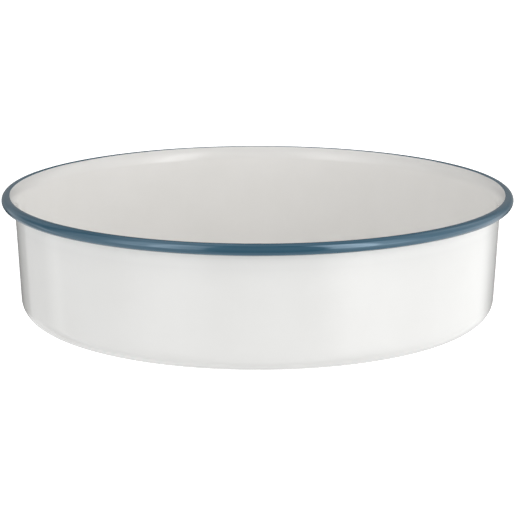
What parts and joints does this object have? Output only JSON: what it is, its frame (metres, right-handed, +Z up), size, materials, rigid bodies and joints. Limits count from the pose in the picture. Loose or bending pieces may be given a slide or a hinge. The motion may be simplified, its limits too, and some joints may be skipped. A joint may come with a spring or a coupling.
{
  "type": "pie dish",
  "caption": "Round deep pie dish of enamelled sheet steel with a drafted wall, a rounded corner and a rolled rim.",
  "frame": {"origin": "centre of the resting ring's underside", "axes": "+Z up along the dish's axis, out of its mouth; X and Y are any two radial directions"},
  "size_m": [0.26, 0.26, 0.063],
  "materials": {
    "sheet_steel": "low-carbon sheet, pickled",
    "ground_enamel": "thin dark vitreous ground coat",
    "white_enamel": "glossy warm-white vitreous cover coat",
    "blue_enamel": "glossy slate-blue vitreous rim coat"
  },
  "bodies": {
    "root": {"steel_body": "sheet_steel", "ground_coat": "ground_enamel", "white_inside_coat": "white_enamel", "white_outside_coat": "white_enamel", "blue_rim_coat": "blue_enamel"}
  },
  "joints": []
}
